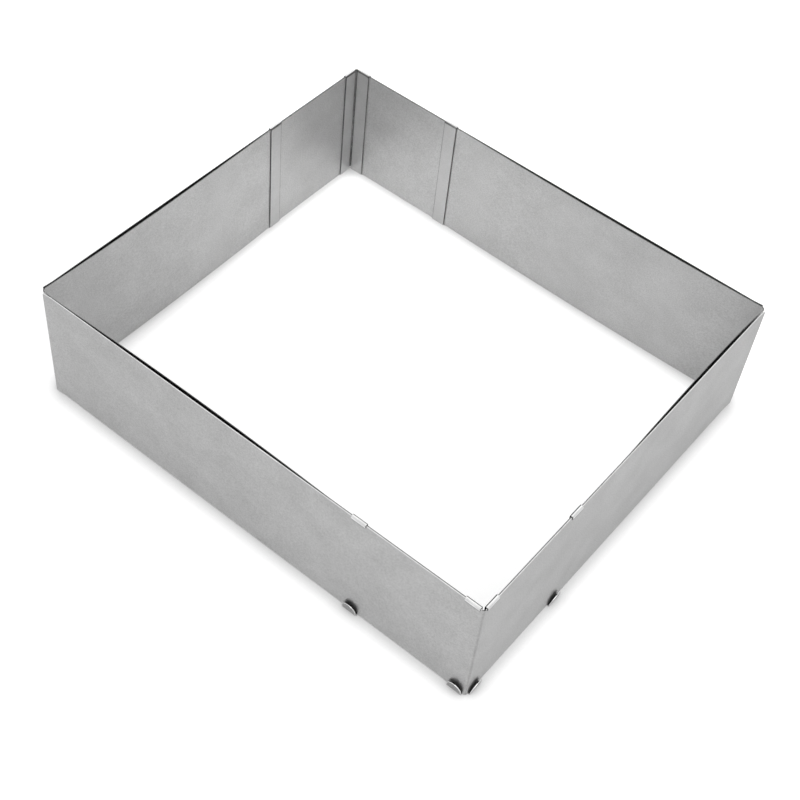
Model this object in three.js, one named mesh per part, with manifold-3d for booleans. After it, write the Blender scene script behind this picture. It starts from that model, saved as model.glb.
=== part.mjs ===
import * as THREE from 'three';
import { mergeVertices } from 'three/addons/utils/BufferGeometryUtils.js';
import Module from 'manifold-3d';

// Adjustable baking frame: four L-shaped stainless sheets that telescope in eight guide clips, pushed
// together to the smallest size. Millimetres, +Z up, origin in the middle of the frame on its base plane.
// The long walls run along X (south and north), the short ones along Y (east and west).
// The near corner is south-east, the far one north-west, the left one south-west, the right one north-east.

// Outside of the closed frame, over the outer sheets.
const frameLength = 280;
const frameWidth = 246;

// Sheets.
const sheetHeight = 75;
const sheetThickness = 0.4;
const outerBendInside = 1.0;
const innerBendInside = 1.8;
// Running gap between an outer leg and the inner leg behind it.
const slidePlay = 0.2;
// How far an outer leg's free end stops short of the inner panel's bend.
const freeEndSetback = 2.0;

// Guide clips.
const clipWidth = 8.6;
const clipThickness = 0.4;
// Distance between the two clips of a leg, centre to centre.
const clipSpacing = 65;
// Room between the free ends of two inner legs in a corner, past the clip of the other leg.
const cornerGap = 0.55;
// Gap of the spot-welded seam between a clip and its leg.
const weldGap = 0.05;
// Play over and under the sheet edges, and between the outer leg and the hook outside it.
const edgePlay = 0.15;
const hookPlay = 0.15;
// Height of the hook that hangs over the top edge.
const hookDepth = 2.2;
// The half-round lip at the bottom: its height, its gap to the sheet at the foot, and how far it leans out.
const lipHeight = 6.6;
const lipGap = 0.8;
const lipLean = 1.0;
// Straight part of the lip's sides below the half-round.
const lipShoulder = 1.75;

const sheetBendSteps = 6;
const clipBendSteps = 4;
const lipSteps = 20;

// Depths inward from the frame's outside, layer by layer.
const innerSheetDepth = sheetThickness + slidePlay;
const innerFaceDepth = innerSheetDepth + sheetThickness;
const clipBackDepth = innerFaceDepth + weldGap;
const clipFaceDepth = clipBackDepth + clipThickness;
// Where the inner and outer legs end, measured from the frame's outside at the corner they run to.
const innerLegEnd = clipFaceDepth + cornerGap;
const outerLegEnd = innerSheetDepth + freeEndSetback;

// Heights: the sheets stand in the clips, and the clips stand on the base plane.
const sheetBottom = clipThickness + edgePlay;
const sheetTop = sheetBottom + sheetHeight;
const clipTop = sheetTop + edgePlay + clipThickness;

const halfLength = frameLength / 2;
const halfWidth = frameWidth / 2;

const wasm = await Module();
wasm.setup();

function toSolid(geometry) {
  const bare = geometry.clone();
  bare.deleteAttribute('normal');
  bare.deleteAttribute('uv');
  const merged = mergeVertices(bare);
  const vertProperties = Float32Array.from(merged.attributes.position.array);
  const triVerts = Uint32Array.from(merged.index.array);
  return new wasm.Manifold(new wasm.Mesh({ numProp: 3, vertProperties, triVerts }));
}

function toGeometry(solid) {
  const mesh = solid.getMesh();
  const geometry = new THREE.BufferGeometry();
  geometry.setAttribute('position', new THREE.BufferAttribute(Float32Array.from(mesh.vertProperties), 3));
  geometry.setIndex(new THREE.BufferAttribute(Uint32Array.from(mesh.triVerts), 1));
  geometry.computeVertexNormals();
  return geometry;
}

// Points of a quarter circle, from one angle to the next, in quarter turns.
function quarterArc(centreX, centreY, radius, fromQuarter, toQuarter, steps) {
  const points = [];
  for (let step = 0; step <= steps; step += 1) {
    const angle = (fromQuarter + (toQuarter - fromQuarter) * step / steps) * Math.PI / 2;
    points.push([centreX + radius * Math.cos(angle), centreY + radius * Math.sin(angle)]);
  }
  return points;
}

function shapeFrom(points) {
  return new THREE.Shape(points.map(([x, y]) => new THREE.Vector2(x, y)));
}

// An L of sheet: a leg along X and a leg along Y from a rounded bend. The corner is the sharp point that the
// outside faces would meet in, and each leg is as long as its outside face to that point.
function makePanel(cornerX, cornerY, directionX, directionY, legX, legY, bendInside) {
  const bendOutside = bendInside + sheetThickness;
  const outline = [
    [legX, 0],
    ...quarterArc(bendOutside, bendOutside, bendOutside, -1, -2, sheetBendSteps),
    [0, legY],
    [sheetThickness, legY],
    ...quarterArc(bendOutside, bendOutside, bendInside, -2, -1, sheetBendSteps),
    [legX, sheetThickness],
  ];
  const placed = outline.map(([x, y]) => [cornerX + directionX * x, cornerY + directionY * y]);
  const geometry = new THREE.ExtrudeGeometry(shapeFrom(placed), { depth: sheetHeight, bevelEnabled: false });
  geometry.translate(0, 0, sheetBottom);
  return geometry;
}

// A guide clip about its own middle: X points out of the frame and is 0 on the frame's outside, Y is up,
// Z runs along the wall.
function makeClip() {
  const bendInside = edgePlay;
  const bendOutside = bendInside + clipThickness;
  const face = -clipFaceDepth;
  const back = -clipBackDepth;
  const hookInside = hookPlay;
  const hookOutside = hookInside + clipThickness;
  const lipInside = lipGap;
  const lipOutside = lipInside + clipThickness;
  const webUnder = clipTop - clipThickness;
  const hookEnd = clipTop - hookDepth;

  // Strip up the inner leg, web under the sheets with the foot of the lip, web over them with the hook.
  const profile = [
    ...quarterArc(face + bendOutside, bendOutside, bendOutside, 2, 3, clipBendSteps),
    ...quarterArc(lipOutside - bendOutside, bendOutside, bendOutside, -1, 0, clipBendSteps),
    ...quarterArc(lipInside - bendInside, bendOutside, bendInside, 0, -1, clipBendSteps),
    ...quarterArc(back + bendInside, bendOutside, bendInside, -1, -2, clipBendSteps),
    ...quarterArc(back + bendInside, webUnder - bendInside, bendInside, 2, 1, clipBendSteps),
    ...quarterArc(hookInside - bendInside, webUnder - bendInside, bendInside, 1, 0, clipBendSteps),
    [hookInside, hookEnd],
    [hookOutside, hookEnd],
    ...quarterArc(hookOutside - bendOutside, clipTop - bendOutside, bendOutside, 0, 1, clipBendSteps),
    ...quarterArc(face + bendOutside, clipTop - bendOutside, bendOutside, 1, 2, clipBendSteps),
  ];
  const strip = new THREE.ExtrudeGeometry(shapeFrom(profile), { depth: clipWidth, bevelEnabled: false });
  strip.translate(0, 0, -clipWidth / 2);

  // Half-round lip on the foot, leaning out towards its tip.
  const lipBase = bendOutside;
  const lipSpring = lipBase + lipShoulder;
  const outline = [[-clipWidth / 2, lipBase], [clipWidth / 2, lipBase]];
  for (let step = 0; step <= lipSteps; step += 1) {
    const angle = Math.PI * step / lipSteps;
    outline.push([clipWidth / 2 * Math.cos(angle), lipSpring + (lipHeight - lipSpring) * Math.sin(angle)]);
  }
  const lip = new THREE.ExtrudeGeometry(shapeFrom(outline), { depth: clipThickness, bevelEnabled: false });
  const turn = new THREE.Matrix4().makeBasis(
    new THREE.Vector3(0, 0, -1), new THREE.Vector3(0, 1, 0), new THREE.Vector3(1, 0, 0));
  lip.applyMatrix4(turn);
  lip.translate(lipInside, 0, 0);
  const position = lip.attributes.position;
  for (let index = 0; index < position.count; index += 1) {
    const rise = (position.getY(index) - lipBase) / (lipHeight - lipBase);
    position.setX(index, position.getX(index) + lipLean * Math.max(rise, 0));
  }

  return toGeometry(toSolid(strip).add(toSolid(lip)));
}

const up = new THREE.Vector3(0, 0, 1);

// The clip's own shape, set on the wall whose outside faces outward, with its middle at the given point.
function placeClip(clip, outward, middleX, middleY) {
  const along = new THREE.Vector3().crossVectors(outward, up);
  const place = new THREE.Matrix4().makeBasis(outward, up, along).setPosition(middleX, middleY, 0);
  return clip.clone().applyMatrix4(place);
}

const group = new THREE.Group();
group.name = 'adjustable_baking_frame';

function addMesh(name, geometry, color, roughness) {
  const material = new THREE.MeshStandardMaterial({ color, roughness, metalness: 1 });
  const mesh = new THREE.Mesh(geometry, material);
  mesh.name = name;
  group.add(mesh);
}

const panelColor = 0xb4b5b5;
const panelRoughness = 0.32;
const clipColor = 0xc6c7c7;
const clipRoughness = 0.28;

// The near and far panels are the outer sheets, the left and right panels slide inside them.
const outerLegX = frameLength - outerLegEnd;
const outerLegY = frameWidth - outerLegEnd;
const innerLegX = frameLength - innerSheetDepth - innerLegEnd;
const innerLegY = frameWidth - innerSheetDepth - innerLegEnd;
const innerCornerX = halfLength - innerSheetDepth;
const innerCornerY = halfWidth - innerSheetDepth;

addMesh('near_panel', makePanel(halfLength, -halfWidth, -1, 1, outerLegX, outerLegY, outerBendInside),
  panelColor, panelRoughness);
addMesh('far_panel', makePanel(-halfLength, halfWidth, 1, -1, outerLegX, outerLegY, outerBendInside),
  panelColor, panelRoughness);
addMesh('left_panel', makePanel(-innerCornerX, -innerCornerY, 1, 1, innerLegX, innerLegY, innerBendInside),
  panelColor, panelRoughness);
addMesh('right_panel', makePanel(innerCornerX, innerCornerY, -1, -1, innerLegX, innerLegY, innerBendInside),
  panelColor, panelRoughness);

// Two clips to each inner leg: one at the free end, one a spacing further back.
const clip = makeClip();
const south = new THREE.Vector3(0, -1, 0);
const north = new THREE.Vector3(0, 1, 0);
const east = new THREE.Vector3(1, 0, 0);
const west = new THREE.Vector3(-1, 0, 0);
const endClip = innerLegEnd + clipWidth / 2;
const clipRows = [['end', endClip], ['mid', endClip + clipSpacing]];
for (const [row, fromCorner] of clipRows) {
  const alongLength = halfLength - fromCorner;
  const alongWidth = halfWidth - fromCorner;
  const places = [
    ['south', south, alongLength, -halfWidth],
    ['west', west, -halfLength, alongWidth],
    ['east', east, halfLength, -alongWidth],
    ['north', north, -alongLength, halfWidth],
  ];
  for (const [wall, outward, middleX, middleY] of places) {
    addMesh(`${wall}_${row}_clip`, placeClip(clip, outward, middleX, middleY), clipColor, clipRoughness);
  }
}

export default group;
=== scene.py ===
import math
from collections import namedtuple

import bpy
from mathutils import Matrix, Vector


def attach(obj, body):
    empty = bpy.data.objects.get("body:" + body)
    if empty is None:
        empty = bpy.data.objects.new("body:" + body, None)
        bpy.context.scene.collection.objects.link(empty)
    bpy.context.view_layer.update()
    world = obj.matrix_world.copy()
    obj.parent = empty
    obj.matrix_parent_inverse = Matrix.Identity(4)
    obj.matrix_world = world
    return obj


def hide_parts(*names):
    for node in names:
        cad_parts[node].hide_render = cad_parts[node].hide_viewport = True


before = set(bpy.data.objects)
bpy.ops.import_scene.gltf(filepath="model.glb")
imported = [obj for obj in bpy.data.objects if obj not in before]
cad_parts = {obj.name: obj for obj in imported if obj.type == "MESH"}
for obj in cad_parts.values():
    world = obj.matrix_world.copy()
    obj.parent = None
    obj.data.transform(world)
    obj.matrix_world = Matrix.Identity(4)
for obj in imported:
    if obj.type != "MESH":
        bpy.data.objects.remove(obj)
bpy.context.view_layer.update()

# Sizes of the frame, in millimetres, as in the solids.
MM = 0.001
FRAME_LENGTH = 280.0
FRAME_WIDTH = 246.0
SHEET_HEIGHT = 75.0
SHEET_THICKNESS = 0.4
OUTER_BEND_INSIDE = 1.0
INNER_BEND_INSIDE = 1.8
SLIDE_PLAY = 0.2
FREE_END_SETBACK = 2.0
CLIP_WIDTH = 8.6
CLIP_THICKNESS = 0.4
CLIP_SPACING = 65.0
CORNER_GAP = 0.55
WELD_GAP = 0.05
EDGE_PLAY = 0.15
HOOK_PLAY = 0.15
HOOK_DEPTH = 2.2
LIP_HEIGHT = 6.6
LIP_GAP = 0.8
LIP_LEAN = 1.0
LIP_SHOULDER = 1.75

INNER_SHEET_DEPTH = SHEET_THICKNESS + SLIDE_PLAY
CLIP_BACK_DEPTH = INNER_SHEET_DEPTH + SHEET_THICKNESS + WELD_GAP
CLIP_FACE_DEPTH = CLIP_BACK_DEPTH + CLIP_THICKNESS
INNER_LEG_END = CLIP_FACE_DEPTH + CORNER_GAP
OUTER_LEG_END = INNER_SHEET_DEPTH + FREE_END_SETBACK
SHEET_BOTTOM = CLIP_THICKNESS + EDGE_PLAY
SHEET_TOP = SHEET_BOTTOM + SHEET_HEIGHT
CLIP_TOP = SHEET_TOP + EDGE_PLAY + CLIP_THICKNESS
HALF_LENGTH = FRAME_LENGTH / 2
HALF_WIDTH = FRAME_WIDTH / 2

UP = Vector((0, 0, 1))


# Sheets

# Cut edges are deburred to a radius, which is smaller where the sheet is narrow.
EDGE_RADIUS = 0.08
EDGE_STEPS = 3
EDGE_SHARE = 0.45
LEAST_EDGE_FLAT = 0.01
# The first row of a face holds its edge's tone shift, and the next one ends it. The tone shifts are mostly
# painted highlights above 0 and painted shade below 0.
HOLDING_ROW = 0.12
HOLDING_SHARE = 0.15
HOLDING_TONE_SHIFT = 0.85
TONE_SHIFT_SHARE = 0.3
SHARP_ANGLE = 50

# What a face is finished as: the number of its material in the piece. The edge materials, and the clips'
# inner material, are painted dark as shade.
OUTER_FINISH, INNER_FINISH, EDGE_SHADE_FINISH, SOFT_EDGE_SHADE_FINISH = range(4)


def rounding(distance, radius):
    """How far a rounded corner of that radius falls back at a distance from its end."""
    if distance >= radius:
        return 0.0
    return radius - math.sqrt(radius ** 2 - (radius - distance) ** 2)


def side_points(low, high, thickness, inset, rows, tone_shift_row):
    """One face of a sheet cut across, from its low edge to its high one: (depth, height, share of the edge's
    tone shift) triples.
    """
    span = high - low
    radius = min(EDGE_RADIUS, EDGE_SHARE * span, thickness / 2 - inset - LEAST_EDGE_FLAT)
    hold = min(HOLDING_ROW, HOLDING_SHARE * span)
    wear = min(tone_shift_row, TONE_SHIFT_SHARE * span)
    edge = []
    for step in range(EDGE_STEPS):
        angle = math.pi / 2 * (1 - step / EDGE_STEPS)
        edge.append((radius * (1 - math.cos(angle)), radius * (1 - math.sin(angle))))
    face_low = low + radius
    face_high = high - radius
    first = face_low + wear
    last = face_high - wear

    points = [(inset + back, low + rise, 1.0) for back, rise in edge]
    points.append((inset, face_low, 1.0))
    points.append((inset, face_low + hold, HOLDING_TONE_SHIFT))
    for row in range(rows + 1):
        points.append((inset, first + (last - first) * row / rows, 0.0))
    points.append((inset, face_high - hold, HOLDING_TONE_SHIFT))
    points.append((inset, face_high, 1.0))
    points += [(inset + back, high - rise, 1.0) for back, rise in reversed(edge)]
    return points


class Station:
    """Where a sheet is cut across: a point on its outer face, the normal there, the way along the cut, and
    the cut's two ends. The tone shifts are for its two faces: above 0 brighter, below 0 darker, and most of
    them are painted highlights and painted shade. The edge finishes are for the low and the high edge."""

    def __init__(self, point, normal, along, low, high, inset=0.0, outer_tone_shift=0.0, inner_tone_shift=0.0,
                 edge_tone_shift=1.0, edge_finishes=(EDGE_SHADE_FINISH, EDGE_SHADE_FINISH)):
        self.point = point
        self.normal = normal
        self.along = along
        self.low = low
        self.high = high
        self.inset = inset
        self.outer_tone_shift = outer_tone_shift
        self.inner_tone_shift = inner_tone_shift
        self.edge_tone_shift = edge_tone_shift
        self.edge_finishes = edge_finishes


def stronger(first, second):
    return first if abs(first) > abs(second) else second


def swept_sheet(name, stations, thickness, rows, tone_shift_row, materials):
    """A closed sheet through its stations, with a material for each of the finishes."""
    vertices = []
    tone_shifts = []
    loops = []
    for cut in stations:
        side = side_points(cut.low, cut.high, thickness, cut.inset, rows, tone_shift_row)
        loop = []
        for depth, height, wear in side:
            loop.append(len(vertices))
            vertices.append((cut.point - cut.normal * depth + cut.along * height) * MM)
            tone_shifts.append(stronger(wear * cut.edge_tone_shift, cut.outer_tone_shift))
        for depth, height, wear in reversed(side):
            loop.append(len(vertices))
            vertices.append((cut.point - cut.normal * (thickness - depth) + cut.along * height) * MM)
            tone_shifts.append(stronger(wear * cut.edge_tone_shift, cut.inner_tone_shift))
        loops.append(loop)

    faces = []
    finishes = []
    count = len(loops[0])
    half = count // 2

    def finish(index, edge_finishes):
        row = index if index < half else count - 2 - index
        if row < EDGE_STEPS:
            return edge_finishes[0]
        if row >= half - EDGE_STEPS - 1:
            return edge_finishes[1]
        return OUTER_FINISH if index < half else INNER_FINISH

    for first, second, cut in zip(loops, loops[1:], stations):
        for index in range(count):
            after = (index + 1) % count
            faces.append((first[index], first[after], second[after], second[index]))
            finishes.append(finish(index, cut.edge_finishes))
    for loop, cut, turned in ((loops[0], stations[0], False), (loops[-1], stations[-1], True)):
        for index in range(half - 1):
            face = (loop[index], loop[count - 1 - index], loop[count - 2 - index], loop[index + 1])
            faces.append(face[::-1] if turned else face)
            finishes.append(cut.edge_finishes[0])

    mesh = bpy.data.meshes.new(name)
    mesh.from_pydata(vertices, [], faces)
    mesh.update()
    # The 'wear' attribute holds the tone shifts: above 0 mostly painted highlights, below 0 mostly painted
    # shade.
    attribute = mesh.attributes.new("wear", "FLOAT", "POINT")
    attribute.data.foreach_set("value", tone_shifts)
    for polygon in mesh.polygons:
        polygon.use_smooth = True
    mesh.set_sharp_from_angle(angle=math.radians(SHARP_ANGLE))
    for material in materials:
        mesh.materials.append(material)
    mesh.polygons.foreach_set("material_index", finishes)
    piece = bpy.data.objects.new(name, mesh)
    bpy.context.scene.collection.objects.link(piece)
    return piece


# Panels

PANEL_TONE_SHIFT_ROW = 0.4
PANEL_FACE_ROWS = 8
SHEET_CORNER_RADIUS = 0.8
STATION_SPACING = 4.0
BEND_STEPS = 10
# The bend's cut edges are darkened: painted shade.
BEND_EDGE_SHADE = -0.9
# Where a leg is cut across close to its free end, from the end inwards.
END_DISTANCES = [0.0, 0.02, 0.05, EDGE_RADIUS, 0.16, 0.3, 0.5, SHEET_CORNER_RADIUS, 1.6]

# An outer leg's free end springs out over its last millimetres.
FLARE_REACH = 6.0
FLARE_RISE = 0.55
# An inner leg lies this much closer to the outer one past its bow, and gets there over this length.
CLOSE_RISE = 0.1
CLOSE_REACH = 20


def leg_distances(start, stop):
    """Where a leg is cut across, from its bend to its free end."""
    ends = [stop - distance for distance in reversed(END_DISTANCES)]
    count = max(1, round((ends[0] - start) / STATION_SPACING))
    return [start + (ends[0] - start) * index / count for index in range(count)] + ends


def make_panel(name, corner, directions, legs, bend_inside, offsets, bend_shade, end_tone_shift, edge_tone_shift, edge_finish,
               materials):
    """An L of sheet with a leg along X and one along Y. The offsets say how far each leg stands out of its
    flat plane, by distance to the corner. The bend is darkened with painted shade, by the given amounts
    outside and inside."""
    corner = Vector((*corner, 0))
    along_x = Vector((directions[0], 0, 0))
    along_y = Vector((0, directions[1], 0))
    bend_outside = bend_inside + SHEET_THICKNESS

    def leg(along, normal, length, offset):
        stations = []
        for distance in leg_distances(bend_outside, length):
            to_end = length - distance
            cut = rounding(to_end, SHEET_CORNER_RADIUS)
            inset = rounding(to_end, EDGE_RADIUS)
            # Over the last row to its free end an outer sheet is brighter and an inner sheet gets painted
            # shade.
            wear = end_tone_shift * max(0.0, 1 - to_end / PANEL_TONE_SHIFT_ROW)
            point = corner + along * distance + normal * offset(distance)
            stations.append(Station(point, normal, UP, SHEET_BOTTOM + cut, SHEET_TOP - cut, inset, wear, wear,
                                    edge_tone_shift, (edge_finish, edge_finish)))
        return stations

    def bend():
        middle = corner + (along_x + along_y) * bend_outside
        stations = []
        for step in range(1, BEND_STEPS):
            angle = math.pi / 2 * step / BEND_STEPS
            normal = -along_y * math.cos(angle) - along_x * math.sin(angle)
            # Painted shade along the bend, deepest at its middle.
            bend_shade_profile = -math.sin(2 * angle) ** 2
            stations.append(Station(middle + normal * bend_outside, normal, UP, SHEET_BOTTOM, SHEET_TOP, 0.0,
                                    bend_shade[0] * bend_shade_profile, bend_shade[1] * bend_shade_profile, BEND_EDGE_SHADE))
        return stations

    first = leg(along_x, -along_y, legs[0], offsets[0])
    second = leg(along_y, -along_x, legs[1], offsets[1])
    stations = first[::-1] + bend() + second
    if directions[0] * directions[1] < 0:
        stations.reverse()
    return swept_sheet(name, stations, SHEET_THICKNESS, PANEL_FACE_ROWS, PANEL_TONE_SHIFT_ROW, materials)


def flare(leg_length):
    def offset(distance):
        part = max(0.0, (distance - leg_length + FLARE_REACH) / FLARE_REACH)
        return FLARE_RISE * part ** 2
    return offset


def bow(start, stop, skew, depth):
    """An inner leg springs away from the outer one between its bend and its clips, and lies close elsewhere.
    A skew below 1 moves the deepest place towards the bend."""
    def offset(distance):
        sag = 0.0
        if start < distance < stop:
            sag = math.sin(math.pi * ((distance - start) / (stop - start)) ** skew)
        settled = min(1.0, max(0.0, (distance - stop + CLOSE_REACH) / CLOSE_REACH))
        return CLOSE_RISE * settled - depth * sag
    return offset


# Guide clips

CLIP_TONE_SHIFT_ROW = 0.55
CLIP_FACE_ROWS = 4
HOOK_CORNER_RADIUS = 0.5
# Where the hook is cut across, from its end upwards.
HOOK_RISES = [0.0, 0.02, 0.05, EDGE_RADIUS, 0.2, 0.35, 0.5, 0.9]
TURN_STEPS = 10
STRIP_STEPS = 12
LIP_STEPS = 16
# The half-round stops short of its top, and its last two cuts are thinner, by shares of the edge radius.
LIP_LAST_ANGLE = 86
LIP_TIP_INSETS = (0.7, 0.2)
LIP_FIRST_SHARE = 0.4

# Tone shifts of a clip's outer face, part by part, and in the fold between two parts: painted highlights on
# the hook, its fold and the web, painted shade on the hook's end, the foot, the lip and the strip's upper
# fold.
HOOK_HIGHLIGHT = 1.15
HOOK_END_SHADE = -0.85
WEB_HIGHLIGHT = 1.15
FOOT_SHADE = -0.35
LIP_SHADE = -0.35
HOOK_FOLD_HIGHLIGHT = 0.3
STRIP_FOLD_SHADE = -0.95
# How far the painted shade reaches up from the hook's end, and how far the folds' painted light reaches down
# the strip and over the web.
HOOK_END_SHADE_REACH = 0.4
STRIP_SHADE_REACH = 0.8
WEB_FOLD_REACH = 0.22
# Tone shift along a clip's side edges, part by part: a painted highlight on the lip's edges, and the strip
# darker along its edges.
CLIP_EDGE_TONE_SHIFT = {"hook": 0.0, "strip": -0.6, "foot": 0.0, "lip": 1.0}

ClipPoint = namedtuple("ClipPoint", "part out up normal_out normal_up half_width wear")


def clip_path():
    """The clip's mid line from the hook's end to the lip's tip."""
    half = CLIP_THICKNESS / 2
    radius = EDGE_PLAY + half
    hook = HOOK_PLAY + half
    strip = -CLIP_BACK_DEPTH - half
    lip = LIP_GAP + half
    high = CLIP_TOP - half - radius
    low = half + radius
    full = CLIP_WIDTH / 2
    path = []

    def turn(part, middle, start, stop, tone_shifts, fold):
        for step in range(TURN_STEPS + 1):
            share = step / TURN_STEPS
            angle = math.radians(start + (stop - start) * share)
            normal = (math.cos(angle), math.sin(angle))
            wear = tone_shifts[0] + (tone_shifts[1] - tone_shifts[0]) * share
            wear += (fold - wear) * math.sin(math.pi * share)
            path.append(ClipPoint(part, middle[0] + radius * normal[0], middle[1] + radius * normal[1],
                                  *normal, full, wear))

    for rise in HOOK_RISES:
        wear = HOOK_END_SHADE if rise < HOOK_END_SHADE_REACH else HOOK_HIGHLIGHT
        path.append(ClipPoint("hook", hook, CLIP_TOP - HOOK_DEPTH + rise, 1, 0, full, wear))
    turn("hook", (hook - radius, high), 0, 90, (HOOK_HIGHLIGHT, HOOK_FOLD_HIGHLIGHT), HOOK_FOLD_HIGHLIGHT)
    path.append(ClipPoint("hook", hook - radius - WEB_FOLD_REACH, high + radius, 0, 1, full, WEB_HIGHLIGHT))
    path.append(ClipPoint("hook", strip + radius + WEB_FOLD_REACH, high + radius, 0, 1, full, WEB_HIGHLIGHT))
    turn("hook", (strip + radius, high), 90, 180, (STRIP_FOLD_SHADE, STRIP_FOLD_SHADE), STRIP_FOLD_SHADE)

    path.append(ClipPoint("strip", strip, high - STRIP_SHADE_REACH, -1, 0, full, 0.0))
    for step in range(1, STRIP_STEPS):
        path.append(ClipPoint("strip", strip, high + (low - high) * step / STRIP_STEPS, -1, 0, full, 0.0))
    turn("foot", (strip + radius, low), 180, 270, (0.0, FOOT_SHADE), FOOT_SHADE)
    turn("foot", (lip - radius, low), 270, 360, (FOOT_SHADE, FOOT_SHADE), FOOT_SHADE)

    rise = LIP_HEIGHT - low
    lean = math.atan2(LIP_LEAN, rise)
    shoulder = LIP_SHOULDER / rise
    cuts = [(shoulder * LIP_FIRST_SHARE, full), (shoulder, full)]
    for step in range(1, LIP_STEPS + 1):
        angle = math.radians(LIP_LAST_ANGLE) * step / LIP_STEPS
        cuts.append((shoulder + (1 - shoulder) * math.sin(angle), full * math.cos(angle)))
    for share, width in cuts:
        path.append(ClipPoint("lip", lip + LIP_LEAN * share, low + rise * share,
                              math.cos(lean), -math.sin(lean), width, LIP_SHADE))
    return path


def make_clip(name, outward, middle, strip_edges, materials):
    outward = Vector((*outward, 0))
    middle = Vector((*middle, 0))
    along = outward.cross(UP)
    path = clip_path()
    half = CLIP_THICKNESS / 2
    # The hook's cut edges get the dark edge material, painted shade; the foot's and the lip's get the outer
    # steel.
    dark = (EDGE_SHADE_FINISH, EDGE_SHADE_FINISH)
    bright = (OUTER_FINISH, OUTER_FINISH)
    edge_finishes = {"hook": dark, "strip": strip_edges, "foot": bright, "lip": bright}
    stations = []
    for index, at in enumerate(path):
        normal = outward * at.normal_out + UP * at.normal_up
        point = middle + outward * at.out + UP * at.up + normal * half
        to_start = HOOK_RISES[index] if index < len(HOOK_RISES) else CLIP_WIDTH
        cut = rounding(to_start, HOOK_CORNER_RADIUS)
        inset = rounding(to_start, EDGE_RADIUS)
        to_tip = len(path) - 1 - index
        if to_tip < len(LIP_TIP_INSETS):
            inset = EDGE_RADIUS * LIP_TIP_INSETS[to_tip]
        stations.append(Station(point, normal, along, -at.half_width + cut, at.half_width - cut, inset,
                                at.wear, 0.0, CLIP_EDGE_TONE_SHIFT[at.part], edge_finishes[at.part]))
    return swept_sheet(name, stations, CLIP_THICKNESS, CLIP_FACE_ROWS, CLIP_TONE_SHIFT_ROW, materials)


# Materials

# Reflectance of the sheets and clips, and of metal seen at a low angle.
PANEL_TONE = 0.57
CLIP_TONE = 0.565
EDGE_TINT = 0.9

# Noise of the steel, in counts per metre, and the part of a noise's range that is used.
CLOUD_SCALE = 42
PATCH_SCALE = 160
PIT_SCALE = 1100
GRAIN_SCALE = 2000
CLOUD_STRETCH = (1, 1, 1.3)
GRAIN_STRETCH = (0.3, 0.3, 1)
NOISE_LOW = 0.3
NOISE_HIGH = 0.7
PATCH_SHARE = 0.6
GRAIN_SHARE = 0.3

# The tone shifts, painted highlights and painted shade, are patchy: in some patches only this share of them
# is left.
PATCHY_LOW = 0.35
PATCHY_HIGH = 0.65
LEAST_PATCHY_SHARE = 0.6

PATCH_ROUGHNESS = 0.04
GRAIN_ROUGHNESS = 0.025
BRIGHTENED_ROUGHNESS = 0.06
RELIEF_GRAIN = 0.3
RELIEF_PITS = 0.7
RELIEF_STRENGTH = 0.06
RELIEF_DEPTH = 0.00003


def new_material(name):
    material = bpy.data.materials.new(name)
    material.use_nodes = True
    tree = material.node_tree
    tree.nodes.clear()
    return material, tree


def add_node(tree, kind, **inputs):
    node = tree.nodes.new(kind)
    for key, value in inputs.items():
        node.inputs[key].default_value = value
    return node


def math_node(tree, operation, first, second):
    node = tree.nodes.new("ShaderNodeMath")
    node.operation = operation
    for index, value in enumerate((first, second)):
        if isinstance(value, (int, float)):
            node.inputs[index].default_value = value
        else:
            tree.links.new(value, node.inputs[index])
    return node.outputs[0]


def stretched(tree, scale):
    coordinate = tree.nodes.new("ShaderNodeTexCoord")
    mapping = add_node(tree, "ShaderNodeMapping", Scale=scale)
    tree.links.new(coordinate.outputs["Object"], mapping.inputs["Vector"])
    return mapping.outputs["Vector"]


def noise(tree, vector, scale, detail, roughness):
    node = add_node(tree, "ShaderNodeTexNoise", Scale=scale, Detail=detail, Roughness=roughness)
    tree.links.new(vector, node.inputs["Vector"])
    return node.outputs["Fac"]


def ramp(tree, value, low, high, low_out, high_out):
    node = tree.nodes.new("ShaderNodeMapRange")
    node.clamp = True
    limits = {"From Min": low, "From Max": high, "To Min": low_out, "To Max": high_out}
    for key, number in limits.items():
        node.inputs[key].default_value = number
    tree.links.new(value, node.inputs["Value"])
    return node.outputs["Result"]


def spread(tree, value, middle, reach):
    """A noise spread evenly to both sides of a middle value."""
    return ramp(tree, value, NOISE_LOW, NOISE_HIGH, middle - reach, middle + reach)


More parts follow.
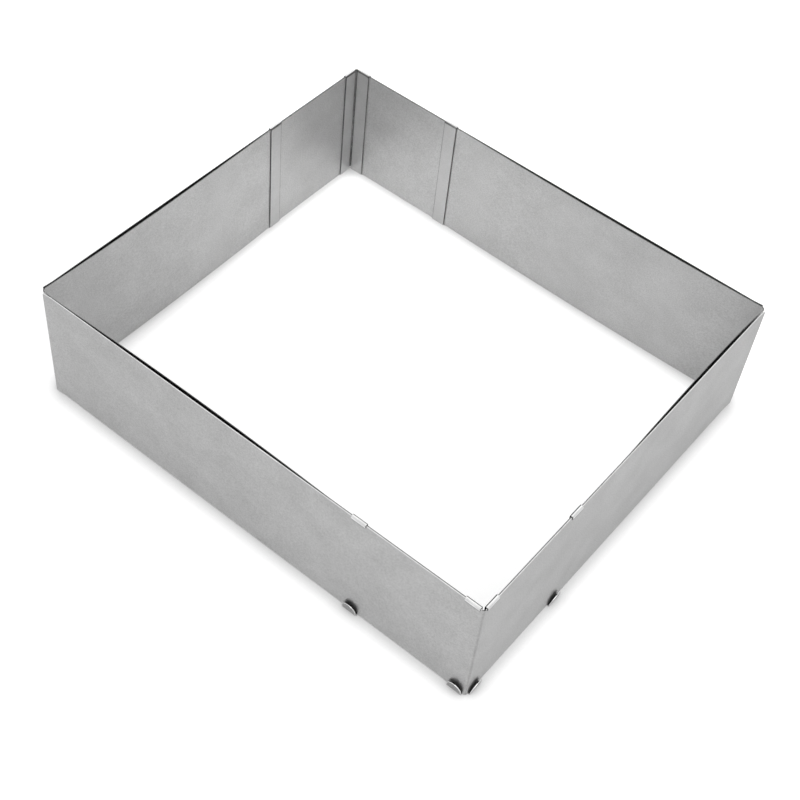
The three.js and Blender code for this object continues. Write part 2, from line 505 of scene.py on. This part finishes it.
def steel(name, tone, roughness, mottle, speckle, brightening):
    """Cold-rolled stainless sheet: soft cloudy patches, rolling grain, fine pits, and tone shifts from the
    'wear' attribute, which are mostly painted highlights and painted shade.
    """
    material, tree = new_material(name)
    links = tree.links
    output = tree.nodes.new("ShaderNodeOutputMaterial")
    shader = tree.nodes.new("ShaderNodeBsdfPrincipled")
    shader.inputs["Metallic"].default_value = 1.0
    shader.inputs["Specular Tint"].default_value = (EDGE_TINT, EDGE_TINT, EDGE_TINT, 1)
    links.new(shader.outputs["BSDF"], output.inputs["Surface"])

    cloud_vector = stretched(tree, CLOUD_STRETCH)
    clouds = noise(tree, cloud_vector, CLOUD_SCALE, detail=3, roughness=0.55)
    patches = noise(tree, cloud_vector, PATCH_SCALE, detail=4, roughness=0.6)
    pits = noise(tree, cloud_vector, PIT_SCALE, detail=2, roughness=0.6)
    grain_vector = stretched(tree, GRAIN_STRETCH)
    grain = noise(tree, grain_vector, GRAIN_SCALE, detail=3, roughness=0.65)
    # The 'wear' attribute brightens the steel above 0, mostly as painted highlights, and darkens it below 0,
    # mostly as painted shade.
    attribute = tree.nodes.new("ShaderNodeAttribute")
    attribute.attribute_name = "wear"
    wear = attribute.outputs["Fac"]
    uneven = ramp(tree, patches, PATCHY_LOW, PATCHY_HIGH, LEAST_PATCHY_SHARE, 1.0)
    brightened = math_node(tree, "MULTIPLY", math_node(tree, "MAXIMUM", wear, 0.0), uneven)
    darkened = math_node(tree, "MULTIPLY", math_node(tree, "MINIMUM", wear, 0.0), uneven)

    level = spread(tree, clouds, 0.0, mottle)
    level = math_node(tree, "ADD", level, spread(tree, patches, 0.0, mottle * PATCH_SHARE))
    level = math_node(tree, "ADD", level, spread(tree, pits, 0.0, speckle))
    level = math_node(tree, "ADD", level, spread(tree, grain, 0.0, speckle * GRAIN_SHARE))
    level = math_node(tree, "ADD", level, math_node(tree, "MULTIPLY", brightened, brightening))
    level = math_node(tree, "ADD", level, darkened)
    value = math_node(tree, "MULTIPLY", math_node(tree, "ADD", level, 1.0), tone)
    colour = tree.nodes.new("ShaderNodeCombineColor")
    for channel in ("Red", "Green", "Blue"):
        links.new(value, colour.inputs[channel])
    links.new(colour.outputs["Color"], shader.inputs["Base Color"])

    rough = spread(tree, patches, roughness, PATCH_ROUGHNESS)
    rough = math_node(tree, "ADD", rough, spread(tree, grain, 0.0, GRAIN_ROUGHNESS))
    rough = math_node(tree, "SUBTRACT", rough, math_node(tree, "MULTIPLY", brightened, BRIGHTENED_ROUGHNESS))
    links.new(rough, shader.inputs["Roughness"])

    relief = math_node(tree, "ADD", math_node(tree, "MULTIPLY", grain, RELIEF_GRAIN),
                       math_node(tree, "MULTIPLY", pits, RELIEF_PITS))
    bump = add_node(tree, "ShaderNodeBump", Strength=RELIEF_STRENGTH, Distance=RELIEF_DEPTH)
    links.new(relief, bump.inputs["Height"])
    links.new(bump.outputs["Normal"], shader.inputs["Normal"])
    return material


panel_steel = steel("panel_steel", PANEL_TONE, roughness=0.46, mottle=0.055, speckle=0.12, brightening=0.5)
# The faces that slide on each other are smoother.
slide_steel = steel("slide_steel", PANEL_TONE, roughness=0.2, mottle=0.055, speckle=0.12, brightening=0.5)
# The sheets' cut edges are painted dark: painted shade for the dark lines along them.
panel_edge_shade = steel("panel_edge_shade", 0.25, roughness=0.3, mottle=0.05, speckle=0.05, brightening=0.1)
clip_steel = steel("clip_steel", CLIP_TONE, roughness=0.42, mottle=0.04, speckle=0.05, brightening=0.65)
# A clip's inner faces are painted nearly black: painted shade in the gaps behind its hook and lip.
clip_inside_shade = steel("clip_inside_shade", 0.05, roughness=0.4, mottle=0.2, speckle=0.1, brightening=0.1)
# A clip's cut edges are painted dark: painted shade for the gaps beside them, less dark on the soft ones.
clip_edge_shade = steel("clip_edge_shade", 0.14, roughness=0.45, mottle=0.2, speckle=0.2, brightening=0.1)
soft_clip_edge_shade = steel("soft_clip_edge_shade", 0.4, roughness=0.45, mottle=0.2, speckle=0.2, brightening=0.1)


# The frame's pieces

outer_legs = (FRAME_LENGTH - OUTER_LEG_END, FRAME_WIDTH - OUTER_LEG_END)
outer_offsets = (flare(outer_legs[0]), flare(outer_legs[1]))
# Painted shade in the outer sheets' bends: light outside, dark inside.
outer_bend_shade = (0.25, 0.95)
outer_faces = (panel_steel, slide_steel, panel_edge_shade)
inner_setback = INNER_SHEET_DEPTH + INNER_LEG_END
inner_legs = (FRAME_LENGTH - inner_setback, FRAME_WIDTH - inner_setback)
# Painted shade in the inner sheets' bends: darker outside, light inside.
inner_bend_shade = (0.5, 0.12)
inner_faces = (slide_steel, panel_steel, panel_edge_shade)
inner_x = HALF_LENGTH - INNER_SHEET_DEPTH
inner_y = HALF_WIDTH - INNER_SHEET_DEPTH
# The bows of the inner legs, the one along X first: start, end, skew and depth.
left_bows = (bow(12, 190, 1.0, 1.35), bow(1, 172, 0.8, 1.3))
right_bows = (bow(1, 200, 0.77, 1.25), bow(2, 130, 0.65, 1.25))


def add_piece(piece, node, body):
    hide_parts(node)
    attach(piece, body)


# The near sheet's cut edges get a painted highlight, the far sheet's painted shade.
near_sheet = make_panel(
    "near_sheet", (HALF_LENGTH, -HALF_WIDTH), (-1, 1), outer_legs, OUTER_BEND_INSIDE, outer_offsets,
    outer_bend_shade, end_tone_shift=1.0, edge_tone_shift=1.0, edge_finish=OUTER_FINISH, materials=outer_faces)
add_piece(near_sheet, "near_panel", "near")
far_sheet = make_panel(
    "far_sheet", (-HALF_LENGTH, HALF_WIDTH), (1, -1), outer_legs, OUTER_BEND_INSIDE, outer_offsets,
    outer_bend_shade, end_tone_shift=1.0, edge_tone_shift=-0.5, edge_finish=EDGE_SHADE_FINISH, materials=outer_faces)
add_piece(far_sheet, "far_panel", "far")
left_sheet = make_panel(
    "left_sheet", (-inner_x, -inner_y), (1, 1), inner_legs, INNER_BEND_INSIDE, left_bows,
    inner_bend_shade, end_tone_shift=-0.9, edge_tone_shift=0.0, edge_finish=EDGE_SHADE_FINISH, materials=inner_faces)
add_piece(left_sheet, "left_panel", "left")
right_sheet = make_panel(
    "right_sheet", (inner_x, inner_y), (-1, -1), inner_legs, INNER_BEND_INSIDE, right_bows,
    inner_bend_shade, end_tone_shift=-0.9, edge_tone_shift=0.0, edge_finish=EDGE_SHADE_FINISH, materials=inner_faces)
add_piece(right_sheet, "right_panel", "right")

# An end clip's strip is painted dark as shade on its edge on the side of the corner, where the other clip
# stands close, and lighter on the other edge.
END_STRIP_EDGES = {
    "south": (EDGE_SHADE_FINISH, SOFT_EDGE_SHADE_FINISH),
    "north": (EDGE_SHADE_FINISH, SOFT_EDGE_SHADE_FINISH),
    "west": (SOFT_EDGE_SHADE_FINISH, EDGE_SHADE_FINISH),
    "east": (SOFT_EDGE_SHADE_FINISH, EDGE_SHADE_FINISH),
}
clip_faces = (clip_steel, clip_inside_shade, clip_edge_shade, soft_clip_edge_shade)
end_clip = INNER_LEG_END + CLIP_WIDTH / 2
for row, from_corner in (("end", end_clip), ("mid", end_clip + CLIP_SPACING)):
    along_length = HALF_LENGTH - from_corner
    along_width = HALF_WIDTH - from_corner
    places = [
        ("south", "left", (0, -1), (along_length, -HALF_WIDTH)),
        ("west", "left", (-1, 0), (-HALF_LENGTH, along_width)),
        ("east", "right", (1, 0), (HALF_LENGTH, -along_width)),
        ("north", "right", (0, 1), (-along_length, HALF_WIDTH)),
    ]
    for wall, body, outward, middle in places:
        strip_edges = END_STRIP_EDGES[wall] if row == "end" else (EDGE_SHADE_FINISH, EDGE_SHADE_FINISH)
        guide = make_clip(f"{wall}_{row}_guide", outward, middle, strip_edges, clip_faces)
        add_piece(guide, f"{wall}_{row}_clip", body)


# Stage, light and camera

FLOOR_HALF_SIZE = 1.0
FLOOR_DROP = 0.00002
FLOOR_TONE = 0.7
# Glow of the floor, as the camera sees it and as the steel mirrors it.
FLOOR_GLOW = 0.54
MIRRORED_GLOW = 0.2
# Shadow where the frame stands, seen and mirrored: how far it reaches in metres, and its strength.
CONTACT_REACH = 0.01
CONTACT_SEEN = 0.85
MIRRORED_REACH = 0.035
CONTACT_MIRRORED = 0.27
CONTACT_SAMPLES = 16
# The sky's strength as a light.
SKY_LEVEL = 0.75

# Lamps: sizes in metres, powers in watts, spreads in degrees. The two fills stand over the floor inside the
# frame, which the walls by the far and right corners mirror.
SOFTBOX_SIZE = 1.0
SOFTBOX_SPREAD = 180
OVERHEAD_POWER = 2.6
FRONT_POWER = 2.4
FILL_SIZE = 0.1
FILL_SPREAD = 40
CORNER_FILL_POWER = 0.032
RIGHT_FILL_POWER = 0.014

# The camera as fitted to the photograph's frame.
CAMERA_PLACE = (0.29446, -0.44067, 0.631477)
CAMERA_AZIMUTH = 33.672
CAMERA_ELEVATION = 50.22
CAMERA_ROLL = 6.983
CAMERA_LENS = 67.613
CAMERA_SENSOR = 36.0
CAMERA_CLIP_START = 0.01


def mirrored_ray(tree, path):
    return math_node(tree, "MAXIMUM", path.outputs["Is Glossy Ray"], path.outputs["Is Transmission Ray"])


def make_floor():
    """A white sheet of paper that keeps the shadow close to the frame."""
    material, tree = new_material("white_paper")
    links = tree.links
    output = tree.nodes.new("ShaderNodeOutputMaterial")
    path = tree.nodes.new("ShaderNodeLightPath")
    camera_ray = path.outputs["Is Camera Ray"]
    mirrored = mirrored_ray(tree, path)

    diffuse = add_node(tree, "ShaderNodeBsdfDiffuse", Color=(FLOOR_TONE, FLOOR_TONE, FLOOR_TONE, 1))
    glow = add_node(tree, "ShaderNodeEmission", Color=(1, 1, 1, 1))
    seen_glow = math_node(tree, "MULTIPLY", camera_ray, FLOOR_GLOW)
    mirrored_glow = math_node(tree, "MULTIPLY", mirrored, MIRRORED_GLOW)
    links.new(math_node(tree, "ADD", seen_glow, mirrored_glow), glow.inputs["Strength"])
    paper = tree.nodes.new("ShaderNodeAddShader")
    links.new(diffuse.outputs[0], paper.inputs[0])
    links.new(glow.outputs[0], paper.inputs[1])

    dark = add_node(tree, "ShaderNodeBsdfDiffuse", Color=(0, 0, 0, 1))
    contact = tree.nodes.new("ShaderNodeAmbientOcclusion")
    contact.samples = CONTACT_SAMPLES
    reach = ramp(tree, camera_ray, 0, 1, MIRRORED_REACH, CONTACT_REACH)
    links.new(reach, contact.inputs["Distance"])
    hidden = math_node(tree, "SUBTRACT", 1.0, contact.outputs["AO"])
    strength = math_node(tree, "ADD", math_node(tree, "MULTIPLY", camera_ray, CONTACT_SEEN),
                         math_node(tree, "MULTIPLY", mirrored, CONTACT_MIRRORED))
    mix = tree.nodes.new("ShaderNodeMixShader")
    links.new(math_node(tree, "MULTIPLY", hidden, strength), mix.inputs["Fac"])
    links.new(paper.outputs[0], mix.inputs[1])
    links.new(dark.outputs[0], mix.inputs[2])
    links.new(mix.outputs[0], output.inputs["Surface"])

    half = FLOOR_HALF_SIZE
    corners = [(-half, -half, 0), (half, -half, 0), (half, half, 0), (-half, half, 0)]
    mesh = bpy.data.meshes.new("floor")
    mesh.from_pydata(corners, [], [(0, 1, 2, 3)])
    mesh.materials.append(material)
    floor = bpy.data.objects.new("floor", mesh)
    bpy.context.scene.collection.objects.link(floor)
    floor.location.z = -FLOOR_DROP


def make_world():
    """White to look at and as a mirror image, and a little dimmer as a light."""
    world = bpy.data.worlds.new("studio")
    world.use_nodes = True
    tree = world.node_tree
    tree.nodes.clear()
    output = tree.nodes.new("ShaderNodeOutputWorld")
    background = add_node(tree, "ShaderNodeBackground", Color=(1, 1, 1, 1))
    path = tree.nodes.new("ShaderNodeLightPath")
    seen = math_node(tree, "MAXIMUM", path.outputs["Is Camera Ray"], mirrored_ray(tree, path))
    tree.links.new(ramp(tree, seen, 0, 1, SKY_LEVEL, 1.0), background.inputs["Strength"])
    tree.links.new(background.outputs[0], output.inputs["Surface"])
    bpy.context.scene.world = world


def add_softbox(name, location, target, size, power, spread_angle):
    lamp = bpy.data.lights.new(name, "AREA")
    lamp.shape = "SQUARE"
    lamp.size = size
    lamp.energy = power
    lamp.spread = math.radians(spread_angle)
    box = bpy.data.objects.new(name, lamp)
    bpy.context.scene.collection.objects.link(box)
    box.location = location
    aim = Vector(target) - Vector(location)
    box.rotation_euler = aim.to_track_quat("-Z", "Y").to_euler()


def make_camera():
    azimuth = math.radians(CAMERA_AZIMUTH)
    elevation = math.radians(CAMERA_ELEVATION)
    roll = math.radians(CAMERA_ROLL)
    back = Vector((math.sin(azimuth) * math.cos(elevation), -math.cos(azimuth) * math.cos(elevation),
                   math.sin(elevation)))
    level_right = (-back).cross(UP).normalized()
    level_up = level_right.cross(-back)
    right = level_right * math.cos(roll) + level_up * math.sin(roll)
    top = level_up * math.cos(roll) - level_right * math.sin(roll)
    data = bpy.data.cameras.new("camera")
    data.sensor_width = CAMERA_SENSOR
    data.lens = CAMERA_LENS
    data.clip_start = CAMERA_CLIP_START
    camera = bpy.data.objects.new("camera", data)
    bpy.context.scene.collection.objects.link(camera)
    turn = Matrix((right, top, back)).transposed().to_4x4()
    camera.matrix_world = Matrix.Translation(CAMERA_PLACE) @ turn
    bpy.context.scene.camera = camera


make_floor()
make_world()
add_softbox("overhead_softbox", (0.45, -0.2, 1.1), (0.1, 0, 0), SOFTBOX_SIZE, OVERHEAD_POWER, SOFTBOX_SPREAD)
add_softbox("front_softbox", (0.55, -0.95, 0.95), (0, 0, 0), SOFTBOX_SIZE, FRONT_POWER, SOFTBOX_SPREAD)
add_softbox("corner_fill", (-0.08, 0.06, 0.4), (-0.115, 0.095, 0), FILL_SIZE, CORNER_FILL_POWER, FILL_SPREAD)
add_softbox("right_fill", (0.05, 0.02, 0.4), (0.08, 0.085, 0), FILL_SIZE, RIGHT_FILL_POWER, FILL_SPREAD)
make_camera()
bpy.context.scene.view_settings.view_transform = "Standard"
